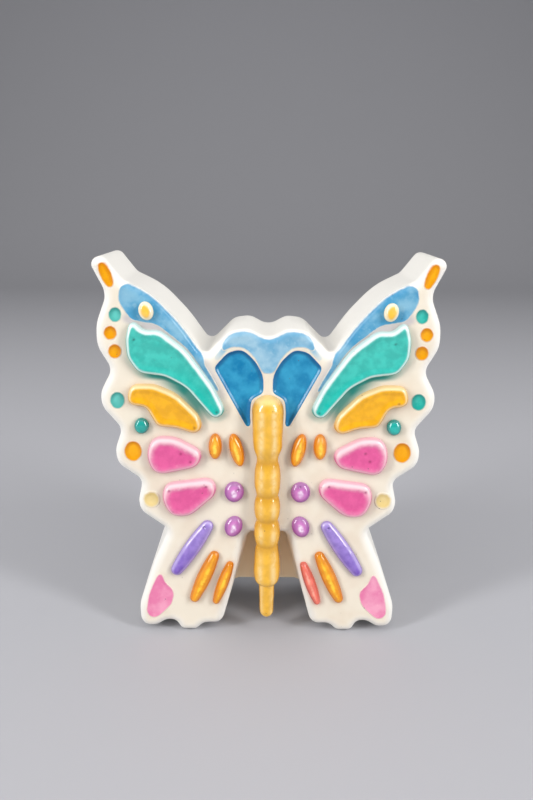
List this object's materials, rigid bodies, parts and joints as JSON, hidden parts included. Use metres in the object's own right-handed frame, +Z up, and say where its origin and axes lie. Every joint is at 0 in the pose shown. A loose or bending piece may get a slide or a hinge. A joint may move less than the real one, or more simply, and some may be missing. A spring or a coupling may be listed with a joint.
{
  "type": "butterfly ornament",
  "caption": "Free-standing glazed ceramic butterfly ornament: a hollow scalloped slab with a raised jointed body, raised coloured wing cells and glaze dots, standing on its hind wings.",
  "frame": {"origin": "on the surface that the feet stand on, under the middle of the whole piece", "axes": "+Z up, the painted face looks along -Y, +X to the right of someone facing it"},
  "size_m": [0.1174, 0.0364, 0.1302],
  "materials": {
    "coral_glaze": "gloss glaze",
    "cream_glaze": "gloss glaze",
    "deep_blue_glaze": "gloss glaze",
    "light_blue_glaze": "gloss glaze",
    "orange_glaze": "gloss glaze",
    "pale_yellow_glaze": "gloss glaze",
    "pink_glaze": "gloss glaze",
    "purple_glaze": "gloss glaze",
    "sky_blue_glaze": "gloss glaze",
    "teal_glaze": "gloss glaze",
    "violet_glaze": "gloss glaze",
    "yellow_glaze": "gloss glaze"
  },
  "bodies": {
    "root": {"antenna_panel_left": "deep_blue_glaze", "antenna_panel_right": "deep_blue_glaze", "back_shell": "cream_glaze", "body": "yellow_glaze", "eye_bead_left": "yellow_glaze", "eye_bead_right": "yellow_glaze", "foot_petal_left": "pink_glaze", "foot_petal_right": "pink_glaze", "forewing_band_left": "sky_blue_glaze", "forewing_band_right": "sky_blue_glaze", "front_shell": "cream_glaze", "hindwing_orange_dot_left": "orange_glaze", "hindwing_orange_dot_right": "orange_glaze", "hindwing_pale_dot_left": "pale_yellow_glaze", "hindwing_pale_dot_right": "pale_yellow_glaze", "inner_bar_left": "orange_glaze", "inner_bar_right": "coral_glaze", "inner_seed_left": "orange_glaze", "inner_seed_right": "orange_glaze", "lobe_glaze": "light_blue_glaze", "lower_pink_cell_left": "pink_glaze", "lower_pink_cell_right": "pink_glaze", "lower_purple_bead_left": "purple_glaze", "lower_purple_bead_right": "purple_glaze", "lower_teal_dot_left": "teal_glaze", "lower_teal_dot_right": "teal_glaze", "middle_orange_dot_left": "orange_glaze", "middle_orange_dot_right": "orange_glaze", "orange_bar_left": "orange_glaze", "orange_bar_right": "orange_glaze", "outer_seed_left": "orange_glaze", "outer_seed_right": "orange_glaze", "teal_bead_left": "teal_glaze", "teal_bead_right": "teal_glaze", "teal_cell_left": "teal_glaze", "teal_cell_right": "teal_glaze", "tip_mark_left": "orange_glaze", "tip_mark_right": "orange_glaze", "upper_orange_dot_left": "orange_glaze", "upper_orange_dot_right": "orange_glaze", "upper_pink_cell_left": "pink_glaze", "upper_pink_cell_right": "pink_glaze", "upper_purple_bead_left": "purple_glaze", "upper_purple_bead_right": "purple_glaze", "upper_teal_dot_left": "teal_glaze", "upper_teal_dot_right": "teal_glaze", "violet_bar_left": "violet_glaze", "violet_bar_right": "violet_glaze", "yellow_cell_left": "yellow_glaze", "yellow_cell_right": "yellow_glaze"}
  },
  "joints": []
}
